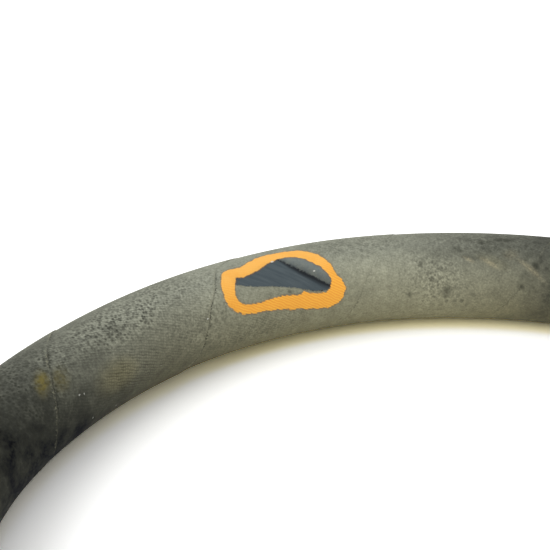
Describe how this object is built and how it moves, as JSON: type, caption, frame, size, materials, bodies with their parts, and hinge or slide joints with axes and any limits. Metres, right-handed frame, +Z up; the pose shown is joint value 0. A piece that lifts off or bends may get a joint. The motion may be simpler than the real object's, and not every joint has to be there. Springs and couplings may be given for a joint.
{
  "type": "hydraulic hose assembly",
  "caption": "Wire-reinforced rubber hydraulic hose bent into a U, with a crimped straight coupling and a free-turning cone-seat swivel nut on each end.",
  "frame": {"origin": "on the floor, at the middle of the box round the two couplings", "axes": "+Z up, -Y the way the couplings point, +X from coupling B to coupling A"},
  "size_m": [0.3276, 0.3547, 0.0376],
  "materials": {
    "tube_rubber": "smooth black oil-proof rubber",
    "textile": "plain rubberised textile",
    "ply_wire": "brass-plated spring wire, wound in a spiral",
    "cushion_rubber": "thin rubber layer",
    "cover_rubber": "weathered grey-brown rubber with a cloth-wrap pattern",
    "plated_steel": "turned and zinc-plated steel",
    "spring_steel": "drawn spring wire"
  },
  "bodies": {
    "hose": {"inner_tube": "tube_rubber", "textile_ply": "textile", "wire_ply_1": "ply_wire", "wire_ply_2": "ply_wire", "wire_ply_3": "ply_wire", "wire_ply_4": "ply_wire", "cushion_layer_1": "cushion_rubber", "cushion_layer_2": "cushion_rubber", "cushion_layer_3": "cushion_rubber", "hose_cover": "cover_rubber", "insert_a": "plated_steel", "ferrule_a": "plated_steel", "insert_b": "plated_steel", "ferrule_b": "plated_steel"},
    "swivel_a": {"swivel_nut_a": "plated_steel", "retaining_wire_a": "spring_steel"},
    "swivel_b": {"swivel_nut_b": "plated_steel", "retaining_wire_b": "spring_steel"}
  },
  "joints": [
    {"name": "swivel_a_turn", "type": "hinge", "parent": "hose", "child": "swivel_a", "pos_m": [0.145, -0.03, 0.0188], "axis": [0, -1, 0], "continuous": true},
    {"name": "swivel_b_turn", "type": "hinge", "parent": "hose", "child": "swivel_b", "pos_m": [-0.145, -0.03, 0.0188], "axis": [0, -1, 0], "continuous": true}
  ]
}
